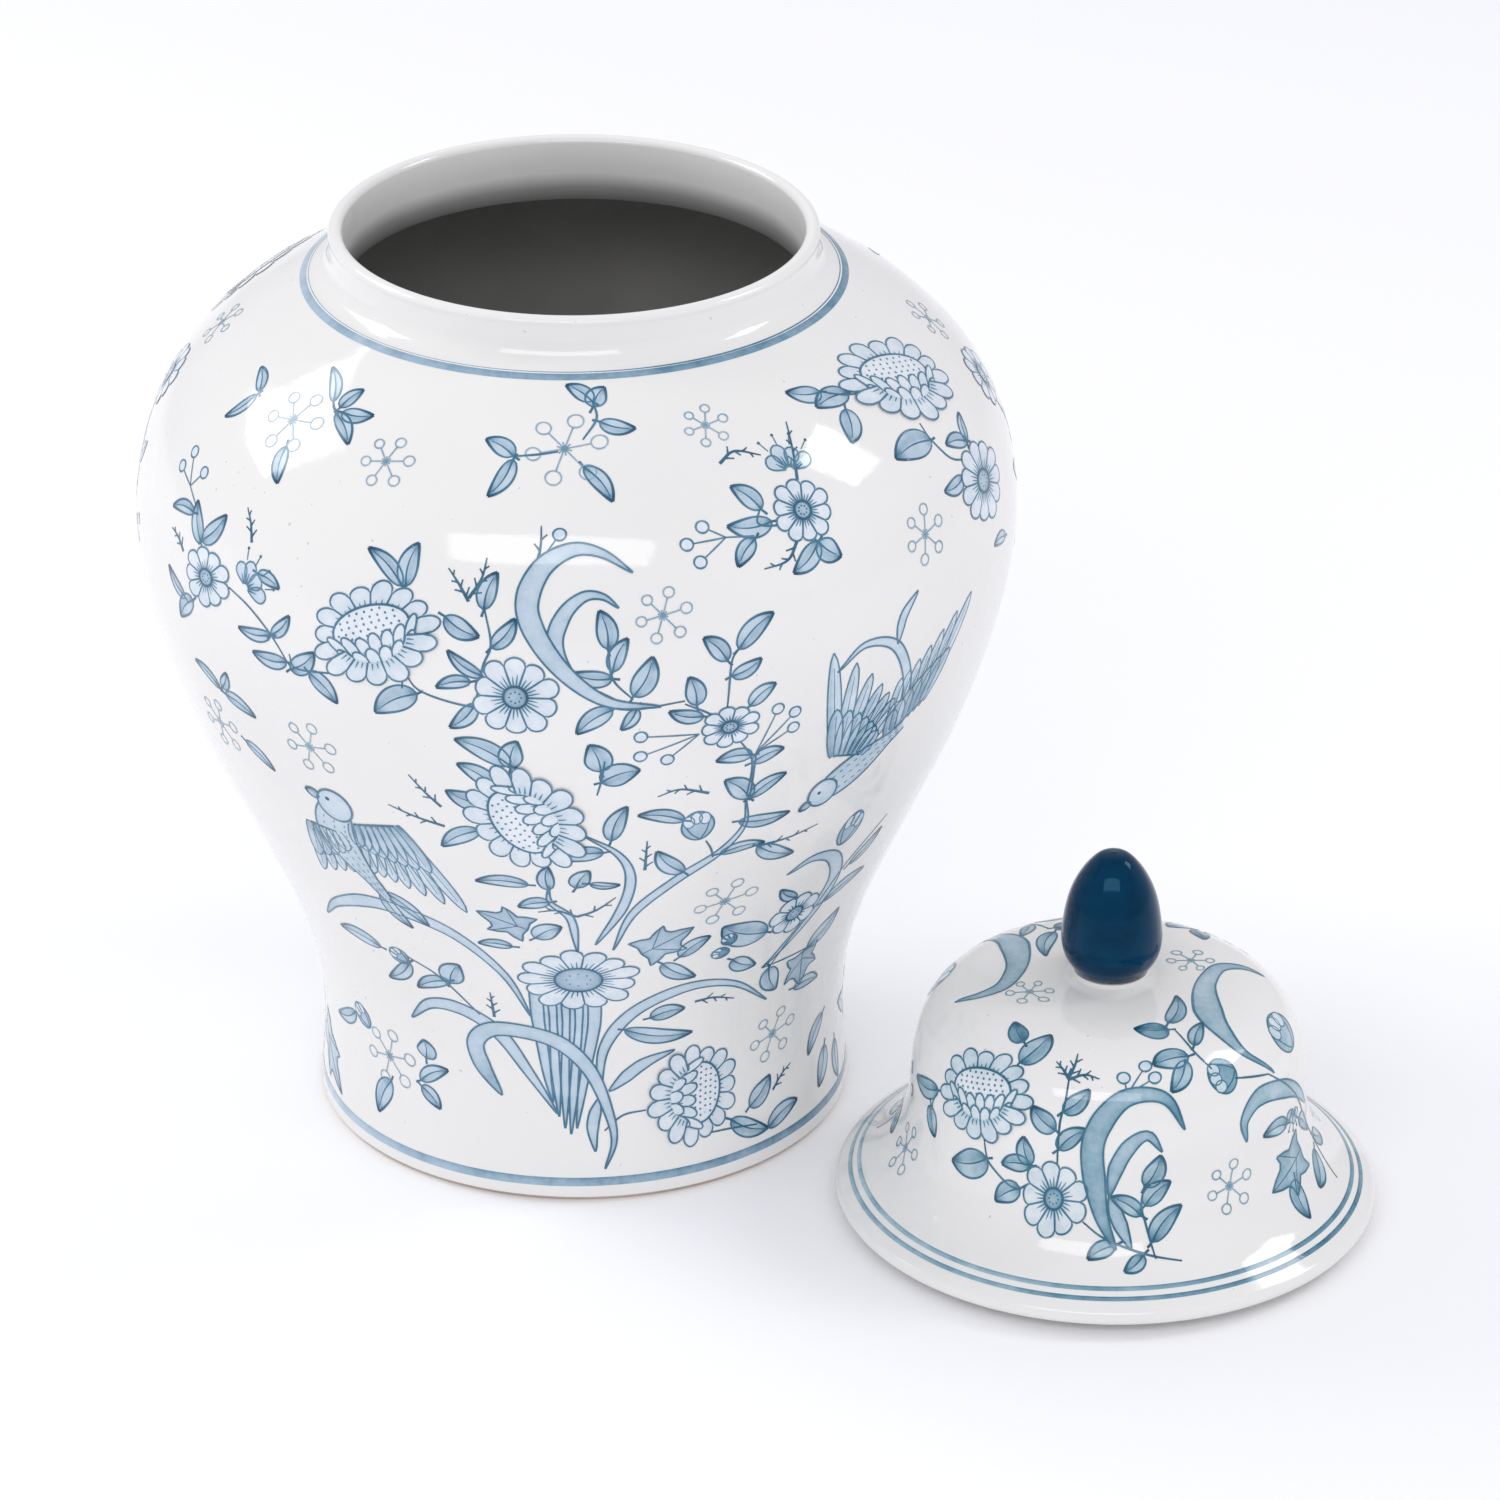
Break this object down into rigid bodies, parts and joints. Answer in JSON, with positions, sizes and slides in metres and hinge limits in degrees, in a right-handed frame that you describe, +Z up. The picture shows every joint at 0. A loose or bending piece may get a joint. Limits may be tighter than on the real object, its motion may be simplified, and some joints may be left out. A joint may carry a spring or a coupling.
{
  "type": "ginger jar",
  "caption": "Lidded porcelain ginger jar with a wide belly and narrow foot, its domed lid lying beside it; holds and displays dry goods or flowers.",
  "frame": {"origin": "on the jar's axis at the surface the jar stands on, taken at the middle of the recessed base disc", "axes": "+Z up along the jar's axis; the lid lies towards +X and -Y; -Y is the painted front"},
  "size_m": [0.3758, 0.3018, 0.29],
  "materials": {
    "jar_glaze": "glossy clear glaze over white porcelain with blue underglaze painting",
    "lid_glaze": "glossy clear glaze over white porcelain with blue underglaze painting",
    "knob_glaze": "very glossy dark navy glaze",
    "bare_foot": "bare matt clay at the bearing edge, glazed above it"
  },
  "bodies": {
    "jar": {"jar_foot_ring": "bare_foot", "jar_base_disc": "jar_glaze", "jar_lower_body": "jar_glaze", "jar_upper_body": "jar_glaze", "jar_neck_ring": "jar_glaze"},
    "lid": {"lid_shell": "lid_glaze", "lid_locating_ring": "lid_glaze", "lid_knob": "knob_glaze"}
  },
  "joints": [
    {"name": "lid_lift", "type": "slide", "parent": "jar", "child": "lid", "axis": [0.3016, -0.1612, 0.9397], "range_m": [0, 0.35]}
  ]
}
